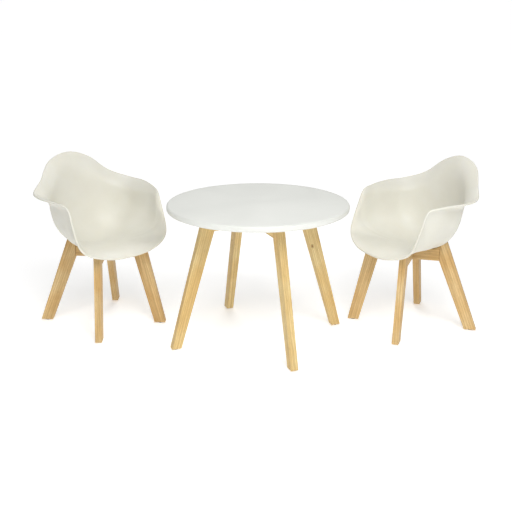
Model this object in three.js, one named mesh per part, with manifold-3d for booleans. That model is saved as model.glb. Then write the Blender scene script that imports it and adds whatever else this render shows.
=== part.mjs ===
// A children's table with two moulded armchairs.
// Round lacquered top on four splayed wooden legs; each chair is a one-piece plastic tub on a
// splayed wooden base. Millimetres, +Z up, the floor at z = 0. The table stands in the middle,
// and the origin is under the middle of the whole set's bounding box.

import * as THREE from 'three';
import { mergeVertices } from 'three/addons/utils/BufferGeometryUtils.js';
import { ParametricGeometry } from 'three/addons/geometries/ParametricGeometry.js';
import Module from 'manifold-3d';

const wasm = await Module();
wasm.setup();

// ---------- driving dimensions ----------

const FIT_GAP = 0.3; // between neighbouring pieces
const BORE_PLAY = 0.3; // added to a bore's radius around its screw, dowel or nail

const TOP = { radius: 300, height: 473, thickness: 19.5, edgeRound: 6, roundSteps: 3, sides: 64 };

// Both bases are two crossed beams, lapped at the middle, with a splayed leg on each end.
// A leg's width and place are measured along its beam; lean and flare are per unit of height.
const TABLE_BASE = {
	centre: [ - 1.5, 0 ],
	legThickness: 24.7,
	widthGain: 0.0378,
	beamThickness: 22,
	beamBottom: 394,
	beamTop: TOP.height - TOP.thickness - FIT_GAP,
	screwRadius: 105,
	screwSeat: 426,
	screwTip: TOP.height - 8,
	counterbore: 6.5,
};
const TABLE_ARM = { footRadius: 295, footWidth: 32, lean: 0.272, crownInner: TABLE_BASE.beamTop, crownOuter: TABLE_BASE.beamTop };
const TABLE_AZIMUTH = 21.9; // of the back right leg; the others follow every quarter turn

const SEAT = { height: 291, centreY: 16, wall: 4.5, dip: 0.16, lip: 8 };
const CHAIR_BASE = {
	centre: [ 0, - 8.6 ],
	legThickness: 22.8,
	widthGain: 0.0356,
	beamThickness: 18,
	beamBottom: 245,
	beamTop: 286,
	screwRadius: 66,
	screwSeat: 258,
	screwTip: 290.2,
	counterbore: 5.5,
};
const FRONT_ARM = { footRadius: 193, footWidth: 39.1, lean: 0.22, crownInner: 295, crownOuter: 298, bossTop: 295.6 };
const BACK_ARM = { footRadius: 221, footWidth: 41.4, lean: 0.378, crownInner: 300.5, crownOuter: 314, bossTop: 291.9 };
const BACK_BEAM_RISE = { from: 78, height: 10 }; // the beams climb with the shell towards the back
const CHAIR_SPLAY = 47.7; // degrees between a beam and the chair's left-right line
const BOSS = { radius: 7, capThickness: 0.8 }; // on the shell's underside round each screw

const GLIDE = { radius: 9, rim: 7.5, thickness: 3, nailRadius: 1.4, nailLength: 14 };
const DOWEL = { radius: 4, length: 40, chamfer: 0.8, depth: 21 };
const SCREW = { shank: 2.3, head: 4.6, headHeight: 3.2 };
const TURNED_SIDES = 10; // facets around screws, dowels, glides and bores

// The rim of the shell, its right half from the top of the back to the middle of the front lip.
// The chair faces -Y.
const RIM = [
	[ 0, 195, 590 ], // crown of the back
	[ 80, 187, 567 ],
	[ 140, 146, 514 ], // shoulder
	[ 198, 95, 487 ], // where the arm begins
	[ 211, 33, 482 ],
	[ 195, - 45, 476 ],
	[ 181, - 92, 463 ], // tip of the arm
	[ 180, - 118, 405 ], // the arm's front edge runs down
	[ 168, - 150, 325 ],
	[ 95, - 177, 293 ],
	[ 0, - 181, 283 ], // front lip
];

// The wall in three directions: corner is the height of its rounded foot and square how boxy that
// foot is, lean the outward slope above it, and run the depth of the sweep out to the rim.
const WALL = {
	side: { corner: 150, square: 2.4, lean: 0.06, run: 40 },
	back: { corner: 150, square: 3.0, lean: 0.24, run: 60 },
	front: { corner: 75, square: 2.6, lean: 0.05, run: 20 },
};
// Where one direction gives way to the next, as the sine of the angle behind the chair's sides.
const TURN = {
	back: { at: 0.6, over: 0.2 },
	front: { at: - 0.4, over: 0.2 },
	open: { at: - 0.3, over: 0.16 }, // no wall outline ahead of this, the seat runs to the rim
	plan: { at: 0, over: 0.12 },
};
const PLAN = { side: 150, back: 95, front: 470, square: 2.3 }; // outline of the walls above the foot
const SWEEP_POWER = 2.2;
const OPEN_EDGE = 4; // width of the sweep where there is no wall outline
const LEAST_WALL = 2;
const SHELL_AROUND = 48; // facets round the rim
const SHELL_RISE = 9; // facets from the seat up to the rim
const ROW_POWER = 1.6; // bunches the facets towards the rim
const STRAIGHT_SHARE = 0.6; // share of the facets given to a wall above its foot

const LEFT_CHAIR = { name: 'left_chair', x: - 550, y: 149.4, turn: 43.6 };
const RIGHT_CHAIR = { name: 'right_chair', x: 538.3, y: 121.7, turn: - 62.4 };

// ---------- materials ----------

const finishes = {
	lacquer: { color: 0xebece8, roughness: 0.45, metalness: 0 },
	oak: { color: 0xd9b377, roughness: 0.6, metalness: 0 },
	shell: { color: 0xe6e4d6, roughness: 0.5, metalness: 0 },
	beech: { color: 0xd2b48c, roughness: 0.7, metalness: 0 },
	glide: { color: 0x8d8a84, roughness: 0.6, metalness: 0 },
	steel: { color: 0xb4b6b8, roughness: 0.35, metalness: 1 },
};

// ---------- geometry helpers ----------

const radians = THREE.MathUtils.degToRad;

// Shared vertices merged and collapsed triangles dropped, so the surface is closed.
function closed( geometry ) {

	const bare = geometry.clone();
	bare.deleteAttribute( 'normal' );
	bare.deleteAttribute( 'uv' );
	const merged = mergeVertices( bare, 1e-4 );
	const index = merged.index.array;
	const kept = [];
	for ( let i = 0; i < index.length; i += 3 ) {

		const [ a, b, c ] = [ index[ i ], index[ i + 1 ], index[ i + 2 ] ];
		if ( a !== b && b !== c && c !== a ) kept.push( a, b, c );

	}

	merged.setIndex( kept );
	return merged;

}

function toSolid( geometry ) {

	const merged = closed( geometry );
	return new wasm.Manifold( new wasm.Mesh( {
		numProp: 3,
		vertProperties: new Float32Array( merged.attributes.position.array ),
		triVerts: new Uint32Array( merged.index.array ),
	} ) );

}

function toGeometry( solid ) {

	const { vertProperties, triVerts } = solid.getMesh();
	const geometry = new THREE.BufferGeometry();
	geometry.setAttribute( 'position', new THREE.BufferAttribute( vertProperties, 3 ) );
	geometry.setIndex( new THREE.BufferAttribute( triVerts, 1 ) );
	return geometry;

}

function cut( geometry, tools ) {

	return toGeometry( tools.reduce( ( body, tool ) => body.subtract( toSolid( tool ) ), toSolid( geometry ) ) );

}

// A turned piece: profile points are [radius, height], from the axis round to the axis.
function turned( profile, sides = TURNED_SIDES ) {

	const points = profile.map( ( [ radius, height ] ) => new THREE.Vector2( radius, height ) );
	return new THREE.LatheGeometry( points, sides ).rotateX( Math.PI / 2 );

}

function rod( radius, bottom, top ) {

	return turned( [ [ 0, bottom ], [ radius, bottom ], [ radius, top ], [ 0, top ] ] );

}

// A plank standing on edge: outline points are [distance along it, height].
function plank( outline, thickness ) {

	const shape = new THREE.Shape( outline.map( ( [ along, height ] ) => new THREE.Vector2( along, height ) ) );
	return new THREE.ExtrudeGeometry( shape, { depth: thickness, bevelEnabled: false } )
		.rotateX( Math.PI / 2 )
		.translate( 0, thickness / 2, 0 );

}

function piece( name, geometry, finish ) {

	const mesh = new THREE.Mesh( geometry, new THREE.MeshStandardMaterial( finishes[ finish ] ) );
	mesh.name = name;
	return mesh;

}

// ---------- turned hardware, each with its axis upright ----------

function glide() {

	const { radius, rim, thickness, nailRadius, nailLength } = GLIDE;
	return closed( turned( [
		[ 0, 0 ],
		[ rim, 0 ],
		[ radius, thickness / 2 ],
		[ radius, thickness ],
		[ nailRadius, thickness ],
		[ nailRadius, thickness + nailLength ],
		[ 0, thickness + nailLength + nailRadius ],
	] ) );

}

function dowel() {

	const { radius, length, chamfer } = DOWEL;
	const half = length / 2;
	return closed( turned( [
		[ 0, - half ],
		[ radius - chamfer, - half ],
		[ radius, - half + chamfer ],
		[ radius, half - chamfer ],
		[ radius - chamfer, half ],
		[ 0, half ],
	] ) );

}

// A pan-head screw driven upwards: the head hangs below its seat at z = 0.
function screw( length ) {

	const { shank, head, headHeight } = SCREW;
	return closed( turned( [
		[ 0, - headHeight ],
		[ head * 0.7, - headHeight ],
		[ head, - headHeight * 0.45 ],
		[ head, - FIT_GAP ],
		[ shank, - FIT_GAP ],
		[ shank, length - shank ],
		[ 0, length ],
	] ) );

}

// ---------- wooden bases ----------

function outerEdge( arm, height ) {

	return arm.footRadius + arm.footWidth / 2 - arm.lean * height;

}

function innerEdge( base, arm, height ) {

	return outerEdge( arm, height ) - arm.footWidth - base.widthGain * height;

}

function jointRadius( base, arm ) {

	return innerEdge( base, arm, base.beamBottom );

}

// The leg's inner edge is upright where it meets the beam and splays outwards below it.
function legGeometry( base, arm ) {

	const foot = GLIDE.thickness + FIT_GAP;
	const joint = jointRadius( base, arm );
	const blank = plank( [
		[ innerEdge( base, arm, foot ), foot ],
		[ outerEdge( arm, foot ), foot ],
		[ outerEdge( arm, arm.crownOuter ), arm.crownOuter ],
		[ joint, arm.crownInner ],
		[ joint, base.beamBottom ],
	], base.legThickness );
	const nail = GLIDE.thickness + GLIDE.nailLength + 2;
	const nailBore = rod( GLIDE.nailRadius + BORE_PLAY, 0, nail ).translate( arm.footRadius, 0, 0 );
	return cut( blank, [ nailBore, dowelBore( base, joint ) ] );

}

function dowelBore( base, joint ) {

	const middle = ( base.beamBottom + base.beamTop ) / 2;
	return rod( DOWEL.radius + BORE_PLAY, - DOWEL.depth, DOWEL.depth )
		.rotateY( Math.PI / 2 )
		.translate( joint, 0, middle );

}

// A beam runs from one joint through the middle to the other; near is its end along +X.
function beamGeometry( base, near, far, rise, crossing, lapFromTop ) {

	const nearEnd = jointRadius( base, near ) - FIT_GAP;
	const farEnd = - jointRadius( base, far ) + FIT_GAP;
	const { beamBottom, beamTop, beamThickness } = base;
	const outline = [ [ farEnd, beamBottom ], [ nearEnd, beamBottom ], [ nearEnd, beamTop + rise.height ] ];
	if ( rise.height > 0 ) outline.push( [ rise.from, beamTop ] );
	outline.push( [ farEnd, beamTop ] );

	const middle = ( beamBottom + beamTop ) / 2;
	const lapHeight = beamTop - beamBottom;
	const lapWidth = beamThickness + 2 * FIT_GAP;
	const lap = new THREE.BoxGeometry( 4 * beamThickness, lapWidth, lapHeight )
		.rotateZ( radians( crossing ) )
		.translate( 0, 0, middle + ( lapFromTop ? 1 : - 1 ) * ( lapHeight - FIT_GAP ) / 2 );

	const tools = [ lap ];
	for ( const [ end, arm ] of [ [ 1, near ], [ - 1, far ] ] ) {

		tools.push( dowelBore( base, end * jointRadius( base, arm ) ) );
		tools.push( ...screwBores( base ).map( bore => bore.translate( end * base.screwRadius, 0, 0 ) ) );

	}

	return cut( plank( outline, beamThickness ), tools );

}

function screwBores( base ) {

	return [
		rod( base.counterbore, base.beamBottom - 1, base.screwSeat ),
		rod( SCREW.shank + BORE_PLAY, base.beamBottom, base.beamTop + 1 ),
	];

}

// arms: four { place, azimuth, ...leg }, in the order of their azimuths.
function crossBase( prefix, base, arms, rises ) {

	const group = new THREE.Group();
	group.position.set( base.centre[ 0 ], base.centre[ 1 ], 0 );
	const middle = ( base.beamBottom + base.beamTop ) / 2;

	for ( const [ i, rise ] of rises.entries() ) {

		const near = arms[ i ];
		const far = arms[ i + 2 ];
		const crossing = arms[ 1 - i ].azimuth - near.azimuth;
		const beam = piece(
			`${ prefix }_cross_beam_${ i + 1 }`,
			beamGeometry( base, near, far, rise, crossing, i === 0 ),
			'oak',
		);
		beam.rotation.z = radians( near.azimuth );
		group.add( beam );

	}

	for ( const arm of arms ) {

		const spoke = new THREE.Group();
		spoke.rotation.z = radians( arm.azimuth );
		const leg = piece( `${ prefix }_leg_${ arm.place }`, legGeometry( base, arm ), 'oak' );
		const foot = piece( `${ prefix }_glide_${ arm.place }`, glide(), 'glide' );
		foot.position.x = arm.footRadius;
		const pin = piece( `${ prefix }_dowel_${ arm.place }`, dowel(), 'beech' );
		pin.rotation.y = Math.PI / 2;
		pin.position.set( jointRadius( base, arm ), 0, middle );
		const bolt = piece( `${ prefix }_screw_${ arm.place }`, screw( base.screwTip - base.screwSeat ), 'steel' );
		bolt.position.set( base.screwRadius, 0, base.screwSeat );
		spoke.add( leg, foot, pin, bolt );
		group.add( spoke );

	}

	return group;

}

// ---------- table ----------

function tableTopGeometry() {

	const { radius, height, thickness, edgeRound, roundSteps, sides } = TOP;
	const profile = [ [ 0, height - thickness ] ];
	for ( const [ level, start ] of [ [ height - thickness + edgeRound, - 90 ], [ height - edgeRound, 0 ] ] ) {

		for ( let step = 0; step <= roundSteps; step ++ ) {

			const angle = radians( start + 90 * step / roundSteps );
			profile.push( [
				radius - edgeRound + edgeRound * Math.cos( angle ),
				level + edgeRound * Math.sin( angle ),
			] );

		}

	}

	profile.push( [ 0, height ] );
	const bores = tableArms().map( arm =>
		rod( SCREW.shank + BORE_PLAY, height - thickness - 1, TABLE_BASE.screwTip + 1 )
			.translate( TABLE_BASE.screwRadius, 0, 0 )
			.rotateZ( radians( arm.azimuth ) ) );
	return cut( turned( profile, sides ), bores );

}

function tableArms() {

	return [ 'back_right', 'back_left', 'front_left', 'front_right' ].map( ( place, quarter ) => ( {
		...TABLE_ARM,
		place,
		azimuth: TABLE_AZIMUTH + 90 * quarter,
	} ) );

}

function table() {

	const flat = { from: 0, height: 0 };
	const group = crossBase( 'table', TABLE_BASE, tableArms(), [ flat, flat ] );
	group.add( piece( 'table_top', tableTopGeometry(), 'lacquer' ) );
	return group;

}

// ---------- chair shell ----------

const rimCurve = new THREE.CatmullRomCurve3( [
	...RIM.map( ( [ x, y, z ] ) => new THREE.Vector3( - x, y, z ) ),
	...RIM.slice( 1, - 1 ).reverse().map( ( [ x, y, z ] ) => new THREE.Vector3( x, y, z ) ),
], true );

// 0 ahead of the given turn and 1 behind it.
function behind( { at, over }, towardsBack ) {

	return 1 / ( 1 + Math.exp( ( at - towardsBack ) / over ) );

}

// Distance from the seat's centre to the walls' outline in plan.
function planReach( sideways, towardsBack ) {

	const lengthwise = 1 / PLAN.front + ( 1 / PLAN.back - 1 / PLAN.front ) * behind( TURN.plan, towardsBack );
	const sum = ( sideways / PLAN.side ) ** PLAN.square + ( Math.abs( towardsBack ) * lengthwise ) ** PLAN.square;
	return sum ** ( - 1 / PLAN.square );

}

// The seating face: around runs once round the rim from the crown, rise from the seat to the rim.
function seatFace( around, rise, target ) {

	const rim = rimCurve.getPointAt( around );
	const reachX = rim.x;
	const reachY = rim.y - SEAT.centreY;
	const reach = Math.hypot( reachX, reachY );
	const towardsBack = reachY / reach;
	const back = behind( TURN.back, towardsBack );
	const front = 1 - behind( TURN.front, towardsBack );
	const open = 1 - behind( TURN.open, towardsBack );
	const mix = key => WALL.back[ key ] * back + WALL.front[ key ] * front + WALL.side[ key ] * ( 1 - back - front );
	const corner = mix( 'corner' );
	const round = 2 / mix( 'square' );
	const rimHeight = rim.z - SEAT.height;
	const tall = Math.max( rimHeight, LEAST_WALL );
	const leaning = mix( 'lean' ) * tall;

	// angles go from 0 on the seat to 1 at the upright end of a full rounded foot
	const end = Math.acos( Math.max( 1 - tall / corner, 0 ) ** ( 1 / round ) ) / ( Math.PI / 2 );
	const endReach = Math.sin( end * Math.PI / 2 ) ** round;
	const outline = planReach( Math.abs( reachX ) / reach, towardsBack ) * endReach;
	const foot = outline * ( 1 - open ) + ( reach - OPEN_EDGE - leaning ) * open;
	const straight = STRAIGHT_SHARE * Math.max( tall - corner, 0 ) / corner;
	const along = ( 1 - ( 1 - rise ) ** ROW_POWER ) * ( end + straight );
	const angle = Math.min( along, end ) * Math.PI / 2;
	const above = Math.max( along - end, 0 ) * corner / STRAIGHT_SHARE;
	const climb = corner * ( 1 - Math.max( Math.cos( angle ), 0 ) ** round ) + above;
	const near = Math.sin( angle ) ** round / endReach;

	const left = ( tall - climb + foot * ( 1 - near ) ) / mix( 'run' );
	const sweep = ( reach - leaning - foot ) * Math.max( 1 - left, 0 ) ** SWEEP_POWER;
	const out = ( foot * near + mix( 'lean' ) * climb + sweep ) / reach;
	const lip = 2 * SEAT.lip * Math.min( towardsBack, 0 ) ** 2 * ( near ** 2 - near ** 8 );
	const dip = SEAT.dip * reachY * out * ( 1 - near ) ** 1.5;
	return target.set(
		reachX * out,
		SEAT.centreY + reachY * out,
		SEAT.height + climb + ( rimHeight - tall ) * near ** 4 + lip - dip,
	);

}

// The underside is the seating face moved out by the wall's thickness.
function undersideFace( around, rise, target ) {

	const step = 1e-3;
	const low = Math.min( Math.max( rise, 2 * step ), 1 - step );
	const wrap = value => ( value + 1 ) % 1;
	const alongRim = seatFace( wrap( around + step ), low, new THREE.Vector3() )
		.sub( seatFace( wrap( around - step ), low, new THREE.Vector3() ) );
	const upWall = seatFace( around, low + step, new THREE.Vector3() )
		.sub( seatFace( around, low - step, new THREE.Vector3() ) );
	const outwards = alongRim.cross( upWall ).normalize();
	return seatFace( around, rise, target ).addScaledVector( outwards, SEAT.wall );

}

function shellSurface( around, across, target ) {

	const seat = across > 0.5;
	const band = Math.round( across * ( 2 * SHELL_RISE + 1 ) );
	const rise = seat ? ( 2 * SHELL_RISE + 1 - band ) / SHELL_RISE : band / SHELL_RISE;
	const turn = around % 1;
	if ( rise === 0 ) return target.set( 0, SEAT.centreY, SEAT.height - ( seat ? 0 : SEAT.wall ) );
	return seat ? seatFace( turn, rise, target ) : undersideFace( turn, rise, target );

}

function shellGeometry( arms ) {

	const skin = new ParametricGeometry( shellSurface, SHELL_AROUND, 2 * SHELL_RISE + 1 );
	const atScrews = ( radius, bottom, margin ) => arms.map( arm =>
		rod( radius, bottom, arm.bossTop - margin )
			.translate( CHAIR_BASE.screwRadius, 0, 0 )
			.rotateZ( radians( arm.azimuth ) )
			.translate( CHAIR_BASE.centre[ 0 ], CHAIR_BASE.centre[ 1 ], 0 ) );
	let body = toSolid( skin );
	for ( const boss of atScrews( BOSS.radius, CHAIR_BASE.beamTop + FIT_GAP, 0 ) ) body = body.add( toSolid( boss ) );
	return cut( toGeometry( body ), atScrews( SCREW.shank + BORE_PLAY, CHAIR_BASE.beamTop, BOSS.capThickness ) );

}

// ---------- chair ----------

// Left and right are the sitter's.
function chairArms() {

	return [
		{ ...BACK_ARM, place: 'back_left', azimuth: CHAIR_SPLAY },
		{ ...BACK_ARM, place: 'back_right', azimuth: 180 - CHAIR_SPLAY },
		{ ...FRONT_ARM, place: 'front_right', azimuth: 180 + CHAIR_SPLAY },
		{ ...FRONT_ARM, place: 'front_left', azimuth: - CHAIR_SPLAY },
	];

}

function chair( { name, x, y, turn } ) {

	const arms = chairArms();
	const group = new THREE.Group();
	group.add( crossBase( name, CHAIR_BASE, arms, [ BACK_BEAM_RISE, BACK_BEAM_RISE ] ) );
	group.add( piece( `${ name }_shell`, shellGeometry( arms ), 'shell' ) );
	group.position.set( x, y, 0 );
	group.rotation.z = radians( turn );
	return group;

}

// ---------- the set ----------

const set = new THREE.Group();
set.add( table(), chair( LEFT_CHAIR ), chair( RIGHT_CHAIR ) );
set.updateMatrixWorld( true );
const middle = new THREE.Box3().setFromObject( set, true ).getCenter( new THREE.Vector3() );
set.position.set( - middle.x, - middle.y, 0 );
set.updateMatrixWorld( true );

export default set;
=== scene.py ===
"""A children's table with two moulded armchairs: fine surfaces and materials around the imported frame.

Lengths are in metres, +Z up. Places come from the frame's boxes; sizes that a box doesn't hold are
named here.
"""

import math

import bmesh
import bpy
import numpy as np
from mathutils import Matrix, Vector


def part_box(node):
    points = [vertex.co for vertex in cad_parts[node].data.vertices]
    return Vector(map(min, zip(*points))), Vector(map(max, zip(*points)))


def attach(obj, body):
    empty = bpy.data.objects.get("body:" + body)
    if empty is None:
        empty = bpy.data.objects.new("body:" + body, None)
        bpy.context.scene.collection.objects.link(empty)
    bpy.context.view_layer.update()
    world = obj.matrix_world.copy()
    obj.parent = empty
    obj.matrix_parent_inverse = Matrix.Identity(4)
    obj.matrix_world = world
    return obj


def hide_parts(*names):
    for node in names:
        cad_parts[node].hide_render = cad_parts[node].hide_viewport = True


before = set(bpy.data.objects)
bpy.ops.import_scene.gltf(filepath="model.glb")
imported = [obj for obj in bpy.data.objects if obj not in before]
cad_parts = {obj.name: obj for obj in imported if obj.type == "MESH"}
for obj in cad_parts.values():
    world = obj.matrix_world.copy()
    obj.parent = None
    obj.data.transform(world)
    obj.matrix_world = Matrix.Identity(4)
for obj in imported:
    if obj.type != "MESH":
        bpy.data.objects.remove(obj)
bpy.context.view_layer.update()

MM = 0.001

# ---------- sizes ----------

PLACES = ("back_left", "back_right", "front_left", "front_right")

# A leg's width and place are measured along its beam; lean and gain are per unit of height.
TABLE_LEG = {
    "foot_width": {"back": 32 * MM, "front": 32 * MM},
    "lean": {"back": 0.272, "front": 0.272},
    "gain": 0.0378,
    "thick": 24.7 * MM,
}
CHAIR_LEG = {
    "foot_width": {"back": 41.4 * MM, "front": 39.1 * MM},
    "lean": {"back": 0.378, "front": 0.22},
    "gain": 0.0356,
    "thick": 22.8 * MM,
}
# How much higher a leg's crown is at its outer edge.
CROWN_SLOPE = {"table": 0, "back": 13.5 * MM, "front": 3 * MM}

# seat is the height at which the screw heads bear; a beam climbs by rise on its way to its back end.
TABLE_BEAM = {
    "thick": 22 * MM,
    "seat": 426 * MM,
    "counterbore": 6.5 * MM,
    "screw_ring": 105 * MM,
    "rise_from": 0,
    "rise": 0,
}
CHAIR_BEAM = {
    "thick": 18 * MM,
    "seat": 258 * MM,
    "counterbore": 5.5 * MM,
    "screw_ring": 66 * MM,
    "rise_from": 78 * MM,
    "rise": 10 * MM,
}
LAP_PLAY = 1.2 * MM  # beside the other beam, where two beams cross
DRILL_OVERRUN = 5 * MM

FIT_GAP = 0.3 * MM
WOOD_ROUND = 1.1 * MM
TOP_EDGE_ROUND = 6 * MM
GLIDE = {"height": 3 * MM, "edge_round": 0.8 * MM, "rim": 1.6 * MM, "dimple": 0.15 * MM}
SCREW = {
    "head_height": 2.9 * MM,
    "head_round": 1.8 * MM,
    "head_dish": 0.2 * MM,
    "slot_width": 0.9 * MM,
    "slot_depth": 3.2 * MM,
    "thread_from": 3.2 * MM,
    "thread_to_tip": 2 * MM,
    "pitch": 1.6 * MM,
    "root": 0.82,  # the thread's root, as a share of the shank's radius
}
BASE_SETBACK = 8.6 * MM  # the chair base's crossing is this far in front of the chair's origin

WALL = 4.5 * MM
RIM_BEAD = 2.6 * MM  # how much thicker the wall is at its rim
BEAD_FROM = 0.9  # share of the rows below the bead
BOSS_RADIUS = 7 * MM
BOSS_EDGE = 0.6 * MM
BOSS_TOP = {"back": 291.9 * MM, "front": 295.6 * MM}

# The rim's right half, from the crown of the back to the middle of the front lip; the chair faces -Y.
RIM = [
    (0, 195, 590),
    (80, 187, 567),
    (140, 146, 514),
    (198, 95, 487),
    (211, 33, 482),
    (195, -45, 476),
    (181, -92, 463),
    (180, -118, 405),
    (168, -150, 325),
    (95, -177, 293),
    (0, -181, 283),
]

# The shell's surface, the same as the frame's. The wall has three directions: corner is the height
# of its rounded foot and square how boxy that foot is, lean the outward slope above it, and run the
# depth of the sweep out to the rim.
SEAT = {"height": 291 * MM, "centre_y": 16 * MM, "dip": 0.16, "lip": 8 * MM}
WALL_SHAPE = {
    "side": {"corner": 150 * MM, "square": 2.4, "lean": 0.06, "run": 40 * MM},
    "back": {"corner": 150 * MM, "square": 3.0, "lean": 0.24, "run": 60 * MM},
    "front": {"corner": 75 * MM, "square": 2.6, "lean": 0.05, "run": 20 * MM},
}
# Where one direction gives way to the next, as the sine of the angle behind the chair's sides.
TURN = {
    "back": {"at": 0.6, "over": 0.2},
    "front": {"at": -0.4, "over": 0.2},
    "open": {"at": -0.3, "over": 0.16},  # no wall outline ahead of this, the seat runs to the rim
    "plan": {"at": 0, "over": 0.12},
}
PLAN = {"side": 150 * MM, "back": 95 * MM, "front": 470 * MM, "square": 2.3}
SWEEP_POWER = 2.2
OPEN_EDGE = 4 * MM
LEAST_WALL = 2 * MM
STRAIGHT_SHARE = 0.6

ROW_POWER = 1.6  # bunches the rows towards the rim
CURVE_STEPS = 60  # along each stretch of the rim's curve
AROUND = 264  # points round the rim
FINE_ROWS = 200  # rows of the face before it is cut back at the rim
RISE = 44  # rows of the finished face
LIP_STEPS = 7  # round the rim's edge

# ---------- colours ----------

TABLE_OAK = {"pale": (0.93, 0.76, 0.40), "mid": (0.69, 0.505, 0.22), "dark": (0.41, 0.255, 0.082)}
CHAIR_OAK = {"pale": (0.86, 0.665, 0.357), "mid": (0.59, 0.407, 0.18), "dark": (0.35, 0.195, 0.062)}
BEECH = {"pale": (0.66, 0.48, 0.30), "mid": (0.60, 0.42, 0.25), "dark": (0.50, 0.33, 0.18)}
OAK_PATCH = (0.93, 0.82, 0.66)
KNOT_CORE = (0.33, 0.145, 0.05)
LACQUER = {"deep": (0.747, 0.757, 0.713), "pale": (0.783, 0.792, 0.748), "rub": (0.75, 0.75, 0.72)}
SHELL = {"base": (0.745, 0.735, 0.66), "deep": (0.715, 0.70, 0.615)}
NYLON = {"pale": (0.30, 0.295, 0.28), "dark": (0.16, 0.155, 0.145)}
ZINC = {"dark": (0.60, 0.60, 0.58), "pale": (0.74, 0.74, 0.73)}
FLOOR = {"deep": (0.93, 0.93, 0.93), "pale": (0.95, 0.95, 0.95)}
WHITE = (1, 1, 1)

RINGS_PER_METRE = 200
PITH = (0.11, 0.055)  # how far the tree's middle lies outside a piece
PIECE_SHIFT = (0.0371, 0.0523, 0.217)  # moves the grain on from one piece to the next
# Knots on the table's legs: across the leg from its middle line, up along it, radius.
KNOTS = {
    "back_right": (-11 * MM, 321 * MM, 3 * MM),
    "back_left": (7 * MM, 295 * MM, 2.2 * MM),
}

# ---------- stage ----------

FLOOR_HALF = 150
FLOOR_DROP = 0.5 * MM
# The floor glows a little near the set, and more from the first distance to the second.
NEAR_GLOW = 0.36
FAR_GLOW = 0.80
GLOW_RISES = (1.8, 4.8)
WORLD_LIGHT = 0.22
LIGHT_TARGET = (0, 0, 0.3)
LIGHT_DISTANCE = 3.6
LIGHT_SIZE = 2.0
# name, azimuth from the front towards +X in degrees, elevation in degrees, watts
LIGHTS = (
    ("key", 20, 42, 60),
    ("front", -15, 45, 25),
    ("overhead", 0, 70, 27),
    ("back", 180, 45, 34),
)
# In front of the table's middle; angles in degrees, lens and sensor in millimetres.
CAMERA = {"distance": 2.707, "height": 1.139, "down": 17.43, "turn": 0.14, "lens": 59.6, "sensor": 36}


# ---------- mesh helpers ----------


def new_object(name, mesh, matrix=None):
    piece = bpy.data.objects.new(name, mesh)
    bpy.context.scene.collection.objects.link(piece)
    if matrix is not None:
        piece.matrix_world = matrix
    return piece


def mesh_from(name, vertices, faces):
    mesh = bpy.data.meshes.new(name)
    mesh.from_pydata([tuple(v) for v in vertices], [], faces)
    mesh.validate()
    mesh.update()
    return mesh


def smooth(mesh):
    mesh.polygons.foreach_set("use_smooth", [True] * len(mesh.polygons))


def fix_normals(mesh):
    work = bmesh.new()
    work.from_mesh(mesh)
    bmesh.ops.recalc_face_normals(work, faces=work.faces)
    work.to_mesh(mesh)
    work.free()


def apply_modifiers(piece):
    """The modifiers' result becomes the piece's own mesh."""
    bpy.context.view_layer.update()
    depsgraph = bpy.context.evaluated_depsgraph_get()
    result = bpy.data.meshes.new_from_object(piece.evaluated_get(depsgraph))
    piece.modifiers.clear()
    piece.data = result


def lathe(name, profile, sides):
    """A turned mesh around Z; the profile runs from the axis round to the axis as (radius, height)."""
    vertices = []
    rings = []
    for radius, height in profile:
        if radius < 1e-7:
            rings.append([len(vertices)])
            vertices.append((0, 0, height))
            continue
        rings.append(list(range(len(vertices), len(vertices) + sides)))
        for i in range(sides):
            angle = 2 * math.pi * i / sides
            vertices.append((radius * math.cos(angle), radius * math.sin(angle), height))
    faces = []
    for low, high in zip(rings, rings[1:]):
        for i in range(sides):
            j = (i + 1) % sides
            if len(low) == 1:
                faces.append((low[0], high[j], high[i]))
            elif len(high) == 1:
                faces.append((low[i], low[j], high[0]))
            else:
                faces.append((low[i], low[j], high[j], high[i]))
    mesh = mesh_from(name, vertices, faces)
    fix_normals(mesh)
    return mesh


def arc(centre_r, centre_z, radius, start, end, steps):
    """Profile points on a round stretch, angles in degrees."""
    points = []
    for i in range(steps + 1):
        angle = math.radians(start + (end - start) * i / steps)
        points.append((centre_r + radius * math.cos(angle), centre_z + radius * math.sin(angle)))
    return points


def board(name, outline, thickness, rounding):
    """An upright board: (x, z) outline, thickness along Y, every edge rounded."""
    work = bmesh.new()
    loop = [work.verts.new((x, -thickness / 2, z)) for x, z in outline]
    side = work.faces.new(loop)
    grown = bmesh.ops.extrude_face_region(work, geom=[side])
    moved = [v for v in grown["geom"] if isinstance(v, bmesh.types.BMVert)]
    bmesh.ops.translate(work, verts=moved, vec=(0, thickness, 0))
    bmesh.ops.recalc_face_normals(work, faces=work.faces)
    bmesh.ops.bevel(
        work,
        geom=list(work.edges),
        offset=rounding,
        segments=3,
        profile=0.5,
        affect="EDGES",
        clamp_overlap=True,
    )
    bmesh.ops.recalc_face_normals(work, faces=work.faces)
    mesh = bpy.data.meshes.new(name)
    work.to_mesh(mesh)
    work.free()
    return mesh


def crisp(piece):
    """Flat faces stay flat in the shading while rounded edges stay soft."""
    smooth(piece.data)
    weighted = piece.modifiers.new("face normals", "WEIGHTED_NORMAL")
    weighted.keep_sharp = True
    return piece


def drill(piece, drills):
    """Cuts the drill objects out of the piece and deletes them."""
    for tool in drills:
        hole = piece.modifiers.new("hole", "BOOLEAN")
        hole.operation = "DIFFERENCE"
        hole.solver = "EXACT"
        hole.object = tool
    apply_modifiers(piece)
    for tool in drills:
        bpy.data.objects.remove(tool)


# ---------- materials ----------


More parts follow.
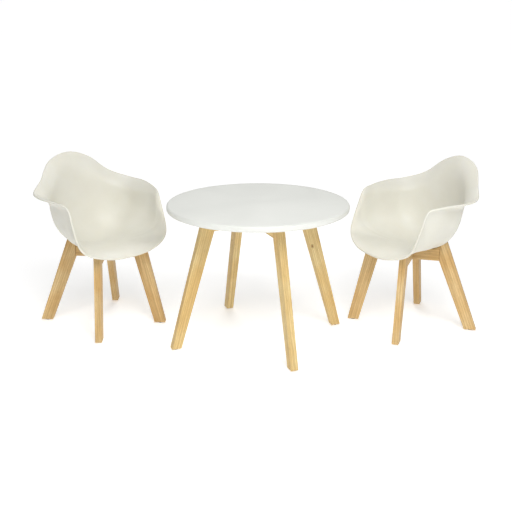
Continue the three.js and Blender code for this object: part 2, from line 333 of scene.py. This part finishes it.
class Nodes:
    """Short spellings for building one material's node tree."""

    def __init__(self, name, roughness, specular=0.5):
        self.material = bpy.data.materials.new(name)
        self.material.use_nodes = True
        self.tree = self.material.node_tree
        self.shader = self.tree.nodes["Principled BSDF"]
        self.shader.inputs["Roughness"].default_value = roughness
        self.shader.inputs["Specular IOR Level"].default_value = specular

    def add(self, kind, **settings):
        node = self.tree.nodes.new(kind)
        for key, value in settings.items():
            setattr(node, key, value)
        return node

    def link(self, source, target):
        self.tree.links.new(source, target)

    def feed(self, socket, value):
        if hasattr(value, "is_linked"):
            self.link(value, socket)
        else:
            socket.default_value = value

    def place(self):
        return self.add("ShaderNodeTexCoord").outputs["Object"]

    def math(self, operation, first, second=0.0, clamp=False):
        node = self.add("ShaderNodeMath", operation=operation, use_clamp=clamp)
        self.feed(node.inputs[0], first)
        self.feed(node.inputs[1], second)
        return node.outputs[0]

    def vector(self, operation, first, second):
        node = self.add("ShaderNodeVectorMath", operation=operation)
        self.feed(node.inputs[0], first)
        self.feed(node.inputs[1], second)
        return node.outputs["Value" if operation in ("LENGTH", "DOT_PRODUCT", "DISTANCE") else "Vector"]

    def noise(self, place, scale, detail=2.0, roughness=0.5, distortion=0.0):
        node = self.add("ShaderNodeTexNoise")
        self.link(place, node.inputs["Vector"])
        node.inputs["Scale"].default_value = scale
        node.inputs["Detail"].default_value = detail
        node.inputs["Roughness"].default_value = roughness
        node.inputs["Distortion"].default_value = distortion
        return node.outputs["Fac"]

    def span(self, value, low, high, to_low=0.0, to_high=1.0):
        node = self.add("ShaderNodeMapRange")
        self.link(value, node.inputs["Value"])
        node.inputs["From Min"].default_value = low
        node.inputs["From Max"].default_value = high
        node.inputs["To Min"].default_value = to_low
        node.inputs["To Max"].default_value = to_high
        return node.outputs["Result"]

    def blend(self, share, first, second, mode="MIX"):
        node = self.add("ShaderNodeMix", data_type="RGBA", blend_type=mode)
        self.feed(node.inputs["Factor"], share)
        self.feed(node.inputs[6], first)
        self.feed(node.inputs[7], second)
        return node.outputs[2]

    def bump(self, height, distance, strength=1.0):
        node = self.add("ShaderNodeBump")
        self.link(height, node.inputs["Height"])
        node.inputs["Distance"].default_value = distance
        node.inputs["Strength"].default_value = strength
        self.link(node.outputs["Normal"], self.shader.inputs["Normal"])


def rgb(colour, shade=1.0):
    """A socket's colour, from red, green and blue; a lower shade is darker."""
    return (*[channel * shade for channel in colour], 1.0)


def spread(n, value):
    """The same number on all three axes."""
    node = n.add("ShaderNodeCombineXYZ")
    for socket in node.inputs:
        n.link(value, socket)
    return node.outputs[0]


def stretched(n, place, across, along):
    """The place squeezed on Z, so that a noise read there runs long on Z."""
    return n.vector("MULTIPLY", place, (across, across, along))


def knot_mask(n, knot, size):
    """1 inside an upright oval on the piece's broad faces, fading to 0 at its edge."""
    across, up, radius = knot
    offset = n.vector("SUBTRACT", n.place(), (across, 0, up))
    oval = n.vector("MULTIPLY", offset, (1 / (radius * size), 0, 0.62 / (radius * size)))
    edge = n.math("MULTIPLY", n.noise(offset, 420), 0.35)
    ragged = n.math("ADD", n.vector("LENGTH", oval, (0, 0, 0)), edge)
    return n.span(ragged, 0.75, 1.25, 1.0, 0.0)


def late_wood_rings(n, place, knot):
    """The dark side of each growth ring, bending round the knot."""
    along = stretched(n, place, 1, 0.05)
    wander = n.noise(along, 28, detail=3)
    warped = n.vector("ADD", along, n.vector("MULTIPLY", spread(n, wander), (0.012, 0.012, 0)))
    if knot:
        swell = n.math("MULTIPLY", knot_mask(n, knot, 2.6), 0.006)
        warped = n.vector("ADD", warped, n.vector("MULTIPLY", spread(n, swell), (1, 1, 0)))
    flat = n.vector("MULTIPLY", warped, (1, 1, 0))
    from_pith = n.vector("LENGTH", n.vector("ADD", flat, (*PITH, 0)), (0, 0, 0))
    ring = n.math("FRACT", n.math("MULTIPLY", from_pith, RINGS_PER_METRE))
    return n.math("POWER", ring, 2.6)


def oak(name, pale, mid, dark, knot=None):
    """Oiled oak with its grain along the piece's own Z: rings, fibres, pores and warmer patches."""
    n = Nodes(name, roughness=0.55, specular=0.35)
    index = n.add("ShaderNodeObjectInfo").outputs["Object Index"]
    place = n.vector("ADD", n.place(), n.vector("MULTIPLY", spread(n, index), PIECE_SHIFT))
    late_wood = late_wood_rings(n, place, knot)
    streak = n.noise(stretched(n, place, 1, 0.03), 95, detail=4, roughness=0.6)
    fibre = n.noise(stretched(n, place, 1, 0.025), 900, detail=3, roughness=0.65)
    pore = n.span(n.noise(stretched(n, place, 1, 0.045), 1500, detail=1), 0.63, 0.72)
    patch = n.noise(place, 9, detail=2)

    colour = n.blend(n.span(streak, 0.3, 0.7), rgb(pale), rgb(mid))
    colour = n.blend(n.math("MULTIPLY", late_wood, 0.5), colour, rgb(dark))
    colour = n.blend(n.span(fibre, 0.35, 0.75, 0, 0.35), colour, rgb(dark))
    colour = n.blend(n.math("MULTIPLY", pore, 0.45), colour, rgb(dark, 0.55))
    colour = n.blend(n.span(patch, 0.36, 0.62, 0.0, 0.85), colour, rgb(OAK_PATCH), mode="MULTIPLY")
    if knot:
        halo = n.math("MULTIPLY", knot_mask(n, knot, 1.9), 0.55)
        colour = n.blend(halo, colour, rgb(dark, 0.62))
        colour = n.blend(knot_mask(n, knot, 0.9), colour, rgb(KNOT_CORE))
    n.link(colour, n.shader.inputs["Base Color"])
    n.link(n.span(fibre, 0.3, 0.8, 0.48, 0.66), n.shader.inputs["Roughness"])

    sunk = n.math("ADD", pore, n.math("MULTIPLY", late_wood, 0.25))
    n.bump(n.math("SUBTRACT", n.math("MULTIPLY", fibre, 0.5), sunk), 0.00012, 0.6)
    return n.material


def lacquer():
    """Sprayed white lacquer: a faint orange peel, a little uneven gloss, a few hairline rubs."""
    n = Nodes("white lacquer", roughness=0.38, specular=0.42)
    place = n.place()
    tone = n.noise(place, 5, detail=3)
    colour = n.blend(n.span(tone, 0.3, 0.7), rgb(LACQUER["deep"]), rgb(LACQUER["pale"]))
    rubs = n.span(n.noise(n.vector("MULTIPLY", place, (1, 0.03, 1)), 700, detail=2), 0.66, 0.72, 0, 0.12)
    n.link(n.blend(rubs, colour, rgb(LACQUER["rub"])), n.shader.inputs["Base Color"])
    mottle = n.span(n.noise(place, 14, detail=4), 0.3, 0.7, 0.33, 0.43)
    n.link(n.math("ADD", mottle, n.math("MULTIPLY", rubs, 0.8)), n.shader.inputs["Roughness"])
    n.bump(n.noise(place, 520, detail=2), 0.00004, 0.5)
    return n.material


def moulded():
    """Satin polypropylene with a fine spark-eroded texture and slightly cloudy tone."""
    n = Nodes("warm white polypropylene", roughness=0.45, specular=0.4)
    n.shader.inputs["Subsurface Weight"].default_value = 0.08
    n.shader.inputs["Subsurface Radius"].default_value = (0.006, 0.005, 0.003)
    n.shader.inputs["Subsurface Scale"].default_value = 1.0
    place = n.place()
    cloud = n.noise(place, 11, detail=4, roughness=0.55)
    grainy = n.noise(place, 1900, detail=2)
    colour = n.blend(n.span(cloud, 0.32, 0.68), rgb(SHELL["base"]), rgb(SHELL["deep"]))
    speckled = n.blend(n.span(grainy, 0.3, 0.7, 0, 0.10), colour, rgb(SHELL["deep"], 0.8))
    n.link(speckled, n.shader.inputs["Base Color"])
    n.link(n.span(n.noise(place, 60, detail=4), 0.3, 0.7, 0.40, 0.52), n.shader.inputs["Roughness"])
    finer = n.math("MULTIPLY", n.noise(place, 5200, detail=1), 0.6)
    n.bump(n.math("ADD", grainy, finer), 0.00005, 0.55)
    return n.material


def nylon():
    """Grey nylon with fine scuffs."""
    n = Nodes("grey nylon", roughness=0.5, specular=0.4)
    scuff = n.noise(stretched(n, n.place(), 1, 3), 900, detail=4, roughness=0.7)
    colour = n.blend(n.span(scuff, 0.4, 0.75), rgb(NYLON["pale"]), rgb(NYLON["dark"]))
    n.link(colour, n.shader.inputs["Base Color"])
    n.link(n.span(scuff, 0.3, 0.7, 0.4, 0.62), n.shader.inputs["Roughness"])
    n.bump(scuff, 0.00006, 0.5)
    return n.material


def zinc():
    """Zinc plate with a fine spangle."""
    n = Nodes("zinc plated steel", roughness=0.32)
    n.shader.inputs["Metallic"].default_value = 1.0
    spangle = n.noise(n.place(), 1300, detail=3)
    n.link(n.blend(spangle, rgb(ZINC["dark"]), rgb(ZINC["pale"])), n.shader.inputs["Base Color"])
    n.link(n.span(spangle, 0.3, 0.7, 0.24, 0.40), n.shader.inputs["Roughness"])
    n.bump(spangle, 0.00002, 0.5)
    return n.material


def floor_paint():
    """Pale studio floor that brightens with distance, so it ends in plain white."""
    n = Nodes("pale floor", roughness=0.8, specular=0.1)
    place = n.place()
    tone = n.noise(place, 2.0, detail=2)
    n.link(n.blend(tone, rgb(FLOOR["deep"]), rgb(FLOOR["pale"])), n.shader.inputs["Base Color"])
    away = n.vector("LENGTH", place, (0, 0, 0))
    n.shader.inputs["Emission Color"].default_value = rgb(WHITE)
    n.link(n.span(away, *GLOW_RISES, NEAR_GLOW, FAR_GLOW), n.shader.inputs["Emission Strength"])
    return n.material


# ---------- bases: where the legs and beams are ----------


def middle_of(node):
    low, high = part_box(node)
    return (low + high) / 2


def crossing(prefix):
    """Where the two diagonals between opposite feet meet, on the floor."""
    feet = {place: middle_of(f"{prefix}_glide_{place}") for place in PLACES}
    start, end = feet["back_left"], feet["front_right"]
    other_start, other_end = feet["back_right"], feet["front_left"]
    run, other_run = end - start, other_end - other_start
    gap = other_start - start
    share = (gap.x * other_run.y - gap.y * other_run.x) / (run.x * other_run.y - run.y * other_run.x)
    point = start + share * run
    return Vector((point.x, point.y, 0))


def spoke(prefix, place):
    """(matrix of the leg's upright plane with X outwards, the foot's distance from the crossing)."""
    centre = crossing(prefix)
    foot = middle_of(f"{prefix}_glide_{place}")
    reach = Vector((foot.x - centre.x, foot.y - centre.y, 0))
    turn = math.atan2(reach.y, reach.x)
    return Matrix.Translation(centre) @ Matrix.Rotation(turn, 4, "Z"), reach.length


def end_of(place):
    """back or front."""
    return place.split("_")[0]


def leg_edges(size, place, foot_reach, height):
    """How far out the leg's outer and inner edges are at a height."""
    lean = size["lean"][end_of(place)]
    foot_width = size["foot_width"][end_of(place)]
    outer = foot_reach + foot_width / 2 - lean * height
    return outer, outer - foot_width - size["gain"] * height


def leg_outline(prefix, size, place, foot_reach):
    beam_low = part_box(f"{prefix}_cross_beam_1")[0].z
    low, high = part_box(f"{prefix}_leg_{place}")
    joint = leg_edges(size, place, foot_reach, beam_low)[1]
    slope = CROWN_SLOPE["table" if prefix == "table" else end_of(place)]
    outer_foot, inner_foot = leg_edges(size, place, foot_reach, low.z)
    return [
        (inner_foot, low.z),
        (outer_foot, low.z),
        (leg_edges(size, place, foot_reach, high.z)[0], high.z),
        (joint, high.z - slope),
        (joint, beam_low),
    ]


# ---------- pieces of a base ----------


def finish(piece, body, node, material):
    piece.data.materials.clear()
    piece.data.materials.append(material)
    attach(piece, body)
    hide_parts(node)


def make_leg(prefix, size, place, material, index):
    node = f"{prefix}_leg_{place}"
    plane, foot_reach = spoke(prefix, place)
    outline = leg_outline(prefix, size, place, foot_reach)
    lean = size["lean"][end_of(place)] + size["gain"] / 2
    along_leg = Matrix.Translation((foot_reach, 0, 0)) @ Matrix.Rotation(-math.atan(lean), 4, "Y")
    into_leg = along_leg.inverted()
    local = []
    for x, z in outline:
        point = into_leg @ Vector((x, 0, z))
        local.append((point.x, point.z))
    mesh = board(node, local, size["thick"], WOOD_ROUND)
    piece = new_object(node + "_oak", mesh, plane @ along_leg)
    piece.pass_index = index
    crisp(piece)
    finish(piece, prefix, node, material)


def make_glide(prefix, place, material):
    """A turned foot with a rounded edge and a nail's dimple underneath."""
    node = f"{prefix}_glide_{place}"
    low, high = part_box(node)
    radius = (high.x - low.x) / 2
    edge, dimple, height = GLIDE["edge_round"], GLIDE["dimple"], GLIDE["height"]
    profile = [(0, dimple), (radius * 0.45, dimple), (radius * 0.5, 0)]
    profile += arc(radius - GLIDE["rim"], edge, edge, -90, -30, 4)
    profile += arc(radius - edge, height - edge, edge, -10, 90, 5)
    profile += [(0, height)]
    foot = Matrix.Translation((*middle_of(node).xy, low.z))
    piece = new_object(node + "_nylon", lathe(node, profile, 48), foot)
    smooth(piece.data)
    finish(piece, prefix, node, material)


def screw_profile(head, length):
    """Pan head below, threaded shank above."""
    shank = head / 2
    root = shank * SCREW["root"]
    thread = []
    height = SCREW["thread_from"]
    while height + SCREW["pitch"] < length - SCREW["thread_to_tip"]:
        thread += [(root, height), (shank, height + SCREW["pitch"] / 2)]
        height += SCREW["pitch"]
    rounding = SCREW["head_round"]
    profile = [(0, SCREW["head_dish"])] + arc(head - rounding, rounding, rounding, -80, 0, 5)
    return profile + [(head, SCREW["head_height"]), (root, SCREW["head_height"])] + thread + [(0, length)]


def slot_cutter(head, turn, matrix):
    """One bar of the cross recess; turn in degrees."""
    work = bmesh.new()
    bmesh.ops.create_cube(work, size=1)
    bmesh.ops.scale(work, verts=work.verts, vec=(head * 1.1, SCREW["slot_width"], SCREW["slot_depth"]))
    bmesh.ops.rotate(work, verts=work.verts, matrix=Matrix.Rotation(math.radians(turn), 3, "Z"))
    mesh = bpy.data.meshes.new("slot")
    work.to_mesh(mesh)
    work.free()
    return new_object("slot", mesh, matrix.copy())


def make_screw(prefix, place, material):
    """A pan-head screw seen from below in its counterbore, with a cross recess."""
    node = f"{prefix}_screw_{place}"
    low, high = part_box(node)
    head = (high.x - low.x) / 2
    at_seat = Matrix.Translation((*middle_of(node).xy, low.z))
    piece = new_object(node + "_zinc", lathe(node, screw_profile(head, high.z - low.z), 40), at_seat)
    drill(piece, [slot_cutter(head, turn, piece.matrix_world) for turn in (0, 90)])
    smooth(piece.data)
    piece.data.set_sharp_from_angle(angle=math.radians(35))
    finish(piece, prefix, node, material)


def beam_outline(ends, low, high, rise_from, rise, notch_half, notch_at_top):
    """ends: (far end, near end) along the beam. The beam climbs towards its near end."""
    far, near = ends
    middle = (low + high) / 2
    bottom = [(far, low), (near, low)]
    if not notch_at_top:
        step = middle + FIT_GAP / 2
        notch = [(-notch_half, low), (-notch_half, step), (notch_half, step), (notch_half, low)]
        bottom = [(far, low), *notch, (near, low)]
    top = [(near, high + rise)]
    if rise:
        top.append((rise_from, high))
    if notch_at_top:
        step = middle - FIT_GAP / 2
        top += [(notch_half, high), (notch_half, step), (-notch_half, step), (-notch_half, high)]
    return bottom + top + [(far, high)]


def make_beam(prefix, number, beam, size, material, index):
    node = f"{prefix}_cross_beam_{number}"
    near_place, far_place = spanned(prefix, number)
    plane, near_reach = spoke(prefix, near_place)
    far_reach = spoke(prefix, far_place)[1]
    low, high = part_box(node)
    level = high.z - beam["rise"]
    near = leg_edges(size, near_place, near_reach, low.z)[1] - FIT_GAP
    far = -leg_edges(size, far_place, far_reach, low.z)[1] + FIT_GAP
    notch = beam["thick"] / 2 + LAP_PLAY
    outline = beam_outline((far, near), low.z, level, beam["rise_from"], beam["rise"], notch, number == 1)
    # The grain runs along the beam, so the piece's own Z lies along it.
    lying = Matrix.Rotation(math.radians(90), 4, "Y")
    into_beam = lying.inverted()
    local = []
    for x, z in outline:
        point = into_beam @ Vector((x, 0, z))
        local.append((point.x, point.z))
    piece = new_object(node + "_oak", board(node, local, beam["thick"], WOOD_ROUND), plane @ lying)
    drill(piece, [counterbore(beam, low.z, plane, side) for side in (1, -1)])
    piece.pass_index = index
    crisp(piece)
    finish(piece, prefix, node, material)


def counterbore(beam, bottom, plane, side):
    """The tool for a screw head's hole in a beam's underside; side is 1 at its near end, else -1."""
    start, radius, seat = bottom - DRILL_OVERRUN, beam["counterbore"], beam["seat"]
    profile = [(0, start), (radius, start), (radius, seat), (0, seat)]
    at_screw = Matrix.Translation((side * beam["screw_ring"], 0, 0))
    return new_object("drill", lathe("drill", profile, 40), plane @ at_screw)


def spanned(prefix, number):
    """(near place, far place) of a cross beam."""
    if prefix == "table":
        return (("back_right", "front_left"), ("back_left", "front_right"))[number - 1]
    return (("back_left", "front_right"), ("back_right", "front_left"))[number - 1]


def make_base(prefix, size, beam, wood, first_index, knotted):
    """knotted holds the wood of the places whose legs have a knot."""
    for i, place in enumerate(PLACES):
        make_leg(prefix, size, place, knotted.get(place, wood), first_index + i)
        make_glide(prefix, place, finishes["glide"])
        make_screw(prefix, place, finishes["steel"])
        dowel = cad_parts[f"{prefix}_dowel_{place}"]
        dowel.data.materials.clear()
        dowel.data.materials.append(finishes["beech"])
    for number in (1, 2):
        make_beam(prefix, number, beam, size, wood, first_index + 3 + number)


# ---------- table top ----------


def make_table_top():
    low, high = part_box("table_top")
    radius = (high.x - low.x) / 2
    thickness = high.z - low.z
    edge = TOP_EDGE_ROUND
    profile = [(0, 0)]
    profile += [(radius * share, 0) for share in (0.25, 0.5, 0.75, 0.93)]
    profile += arc(radius - edge, edge, edge, -90, 0, 8)
    profile += arc(radius - edge, thickness - edge, edge, 0, 90, 8)
    profile += [(radius * share, thickness) for share in (0.93, 0.75, 0.5, 0.25)]
    profile += [(0, thickness)]
    place = Matrix.Translation((*middle_of("table_top").xy, low.z))
    piece = new_object("table_top_lacquered", lathe("table_top", profile, 192), place)
    crisp(piece)
    finish(piece, "table", "table_top", finishes["lacquer"])


# ---------- chair shell ----------


def between(first, second, low, high, at):
    """The point on the line from first, at low, to second, at high."""
    return ((high - at) * first + (at - low) * second) / (high - low)


def catmull_rom(points, samples):
    """A closed centripetal curve through the points, at even steps along its length."""
    points = np.array(points, float)
    count = len(points)
    dense = []
    for i in range(count):
        p = [points[(i + k - 1) % count] for k in range(4)]
        knots = [0.0]
        for a, b in zip(p, p[1:]):
            knots.append(knots[-1] + math.sqrt(np.linalg.norm(b - a)))
        for at in np.linspace(knots[1], knots[2], CURVE_STEPS, endpoint=False):
            lines = [between(p[j], p[j + 1], knots[j], knots[j + 1], at) for j in range(3)]
            arcs = [between(lines[j], lines[j + 1], knots[j], knots[j + 2], at) for j in range(2)]
            dense.append(between(arcs[0], arcs[1], knots[1], knots[2], at))
    dense = np.array(dense + [dense[0]])
    run = np.concatenate([[0], np.cumsum(np.linalg.norm(np.diff(dense, axis=0), axis=1))])
    even = np.linspace(0, run[-1], samples, endpoint=False)
    return np.stack([np.interp(even, run, dense[:, axis]) for axis in range(3)], axis=1)


def rim_curve():
    right = [Vector(p) * MM for p in RIM]
    left = [Vector((-p.x, p.y, p.z)) for p in right]
    return catmull_rom(left + right[1:-1][::-1], AROUND)


def behind(turn, towards_back):
    """0 ahead of the given turn and 1 behind it."""
    return 1 / (1 + np.exp((turn["at"] - towards_back) / turn["over"]))


def plan_reach(sideways, towards_back):
    """Distance from the seat's centre to the walls' outline in plan."""
    change = (1 / PLAN["back"] - 1 / PLAN["front"]) * behind(TURN["plan"], towards_back)
    lengthwise = 1 / PLAN["front"] + change
    square = PLAN["square"]
    total = (sideways / PLAN["side"]) ** square + (np.abs(towards_back) * lengthwise) ** square
    return total ** (-1 / square)


def seat_face(rim):
    """Points of the seating face: one line per rim point, from the seat's middle up to the rim."""
    reach_x = rim[:, :1]
    reach_y = rim[:, 1:2] - SEAT["centre_y"]
    reach = np.hypot(reach_x, reach_y)
    towards_back = reach_y / reach
    back = behind(TURN["back"], towards_back)
    front = 1 - behind(TURN["front"], towards_back)
    opened = 1 - behind(TURN["open"], towards_back)

    def mix(key):
        side = WALL_SHAPE["side"][key] * (1 - back - front)
        return WALL_SHAPE["back"][key] * back + WALL_SHAPE["front"][key] * front + side

    corner, lean = mix("corner"), mix("lean")
    power = 2 / mix("square")
    rim_height = rim[:, 2:] - SEAT["height"]
    tall = np.maximum(rim_height, LEAST_WALL)

    # Angles go from 0 on the seat to 1 at the upright end of a full rounded foot.
    end = np.arccos(np.clip(1 - tall / corner, 0, None) ** (1 / power)) / (math.pi / 2)
    end_reach = np.sin(end * math.pi / 2) ** power
    outline = plan_reach(np.abs(reach_x) / reach, towards_back) * end_reach
    foot = outline * (1 - opened) + (reach - OPEN_EDGE - lean * tall) * opened
    straight = STRAIGHT_SHARE * np.clip(tall - corner, 0, None) / corner
    rise = np.linspace(0, 1, FINE_ROWS + 1)[None, :]
    along = (1 - (1 - rise) ** ROW_POWER) * (end + straight)
    angle = np.minimum(along, end) * math.pi / 2
    above = np.clip(along - end, 0, None) * corner / STRAIGHT_SHARE
    climb = corner * (1 - np.clip(np.cos(angle), 0, None) ** power) + above
    near = np.sin(angle) ** power / end_reach

    left = (tall - climb + foot * (1 - near)) / mix("run")
    sweep = (reach - lean * tall - foot) * np.clip(1 - left, 0, None) ** SWEEP_POWER
    out = (foot * near + lean * climb + sweep) / reach
    lip = 2 * SEAT["lip"] * np.minimum(towards_back, 0) ** 2 * (near**2 - near**8)
    dip = SEAT["dip"] * reach_y * out * np.clip(1 - near, 0, None) ** 1.5
    z = SEAT["height"] + climb + (rim_height - tall) * near**4 + lip - dip
    return np.stack([reach_x * out, SEAT["centre_y"] + reach_y * out, z], axis=-1)


def stop_short(face):
    """Lines of the face again, ending where the rim's rounded edge begins."""
    steps = np.linalg.norm(np.diff(face, axis=1), axis=-1)
    share = 1 - (1 - np.linspace(0, 1, RISE + 1)) ** ROW_POWER
    lines = []
    for points, step in zip(face, steps):
        length = np.concatenate([[0], np.cumsum(step)])
        wanted = share * (length[-1] - (WALL + RIM_BEAD) / 2)
        lines.append(np.stack([np.interp(wanted, length, points[:, axis]) for axis in range(3)], axis=1))
    return np.array(lines)


def unit(vectors):
    return vectors / np.maximum(np.linalg.norm(vectors, axis=-1, keepdims=True), 1e-12)


def shell_mesh(name):
    face = stop_short(seat_face(rim_curve()))
    around = np.roll(face, -1, axis=0) - np.roll(face, 1, axis=0)
    upwards = np.gradient(face, axis=1)
    outwards = unit(np.cross(around, upwards))
    outwards[:, 0] = (0, 0, -1)
    outwards[:, 1] = unit(outwards[:, 1] * 0.3 + outwards[:, 2] * 0.7)
    rise = np.linspace(0, 1, RISE + 1)
    bead = np.clip((rise - BEAD_FROM) / (1 - BEAD_FROM), 0, 1) ** 2
    under = face + outwards * (WALL + RIM_BEAD * bead)[None, :, None]
    over_rim = unit(face[:, -1] - face[:, -2])

    rows = [under[:, i] for i in range(1, RISE + 1)]
    middle = (face[:, -1] + under[:, -1]) / 2
    half = (under[:, -1] - face[:, -1]) / 2
    bulge = np.linalg.norm(half, axis=-1, keepdims=True)
    for i in range(1, LIP_STEPS):
        angle = math.pi * i / LIP_STEPS
        rows.append(middle + half * math.cos(angle) + over_rim * bulge * math.sin(angle))
    rows += [face[:, i] for i in range(RISE, 0, -1)]

    vertices = [under[0, 0]] + [point for row in rows for point in row] + [face[0, 0]]
    faces = []
    last = len(vertices) - 1
    for row in range(len(rows) - 1):
        for i in range(AROUND):
            j = (i + 1) % AROUND
            low, high = 1 + row * AROUND, 1 + (row + 1) * AROUND
            faces.append((low + i, low + j, high + j, high + i))
    top = 1 + (len(rows) - 1) * AROUND
    for i in range(AROUND):
        j = (i + 1) % AROUND
        faces.append((0, 1 + j, 1 + i))
        faces.append((last, top + i, top + j))
    mesh = mesh_from(name, vertices, faces)
    fix_normals(mesh)
    return mesh


def chair_place(prefix):
    """The chair's own frame: it faces -Y, its origin on the floor."""
    front = (middle_of(f"{prefix}_glide_front_left") + middle_of(f"{prefix}_glide_front_right")) / 2
    back = (middle_of(f"{prefix}_glide_back_left") + middle_of(f"{prefix}_glide_back_right")) / 2
    backwards = (back - front).xy.normalized()
    turn = math.atan2(backwards.y, backwards.x) - math.pi / 2
    centre = crossing(prefix)
    origin = centre + Vector((backwards.x, backwards.y, 0)) * BASE_SETBACK
    return Matrix.Translation(origin) @ Matrix.Rotation(turn, 4, "Z")


def make_bosses(prefix):
    """Moulded bosses under the shell, where the screws enter, as tools for a union."""
    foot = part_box(f"{prefix}_cross_beam_1")[1].z - CHAIR_BEAM["rise"] + FIT_GAP
    inner = BOSS_RADIUS - BOSS_EDGE
    bosses = []
    for where in PLACES:
        plane = spoke(prefix, where)[0]
        top = BOSS_TOP[end_of(where)]
        profile = [(0, foot), (inner, foot), (BOSS_RADIUS, foot + BOSS_EDGE), (BOSS_RADIUS, top), (0, top)]
        at_screw = Matrix.Translation((CHAIR_BEAM["screw_ring"], 0, 0))
        bosses.append(new_object("boss", lathe("boss", profile, 48), plane @ at_screw))
    return bosses


def make_shell(prefix, material):
    node = f"{prefix}_shell"
    place = chair_place(prefix)
    mesh = shell_mesh(node)
    mesh.transform(place.to_3x3().to_4x4())
    piece = new_object(node + "_moulding", mesh, Matrix.Translation(place.translation))
    bosses = make_bosses(prefix)
    for boss in bosses:
        join = piece.modifiers.new("boss", "BOOLEAN")
        join.operation = "UNION"
        join.solver = "EXACT"
        join.object = boss
    apply_modifiers(piece)
    for boss in bosses:
        bpy.data.objects.remove(boss)
    smooth(piece.data)
    piece.data.set_sharp_from_angle(angle=math.radians(40))
    finish(piece, prefix, node, material)


# ---------- stage ----------


def make_floor():
    """It lies just under the glides, so the two don't share a plane."""
    half = FLOOR_HALF
    corners = [(-half, -half, 0), (half, -half, 0), (half, half, 0), (-half, half, 0)]
    mesh = mesh_from("floor", corners, [(0, 1, 2, 3)])
    floor = new_object("floor", mesh, Matrix.Translation((0, 0, -FLOOR_DROP)))
    floor.data.materials.append(floor_paint())


def area_light(name, azimuth, elevation, power):
    """A round soft light aimed at the set; azimuth in degrees from straight in front towards +X."""
    turn, climb = math.radians(azimuth), math.radians(elevation)
    level = math.cos(climb)
    away = Vector((level * math.sin(turn), -level * math.cos(turn), math.sin(climb)))
    data = bpy.data.lights.new(name, "AREA")
    data.shape = "DISK"
    data.size = LIGHT_SIZE
    data.energy = power
    lamp = bpy.data.objects.new(name, data)
    bpy.context.scene.collection.objects.link(lamp)
    lamp.location = Vector(LIGHT_TARGET) + away * LIGHT_DISTANCE
    lamp.rotation_euler = (-away).to_track_quat("-Z", "Y").to_euler()


def make_lights():
    world = bpy.data.worlds.new("studio")
    bpy.context.scene.world = world
    world.use_nodes = True
    background = world.node_tree.nodes["Background"]
    background.inputs["Color"].default_value = rgb(WHITE)
    background.inputs["Strength"].default_value = WORLD_LIGHT
    for light in LIGHTS:
        area_light(*light)


def make_camera():
    """Stands in front of the table, a little above, looking slightly down."""
    table = middle_of("table_top")
    data = bpy.data.cameras.new("camera")
    data.lens = CAMERA["lens"]
    data.sensor_width = CAMERA["sensor"]
    camera = bpy.data.objects.new("camera", data)
    bpy.context.scene.collection.objects.link(camera)
    camera.location = (table.x, table.y - CAMERA["distance"], CAMERA["height"])
    camera.rotation_euler = (math.radians(90 - CAMERA["down"]), 0, math.radians(CAMERA["turn"]))
    bpy.context.scene.camera = camera
    bpy.context.scene.view_settings.view_transform = "Standard"


# ---------- the set ----------

finishes = {
    "lacquer": lacquer(),
    "table_oak": oak("table oak", **TABLE_OAK),
    "chair_oak": oak("chair oak", **CHAIR_OAK),
    "shell": moulded(),
    "beech": oak("beech dowel", **BEECH),
    "glide": nylon(),
    "steel": zinc(),
}
knotted = {
    "back_right": oak("table oak with a high knot", **TABLE_OAK, knot=KNOTS["back_right"]),
    "back_left": oak("table oak with a low knot", **TABLE_OAK, knot=KNOTS["back_left"]),
}

make_floor()
make_lights()
make_camera()
make_table_top()
make_base("table", TABLE_LEG, TABLE_BEAM, finishes["table_oak"], 1, knotted)
for count, chair in enumerate(("left_chair", "right_chair")):
    make_shell(chair, finishes["shell"])
    make_base(chair, CHAIR_LEG, CHAIR_BEAM, finishes["chair_oak"], 11 + 10 * count, {})
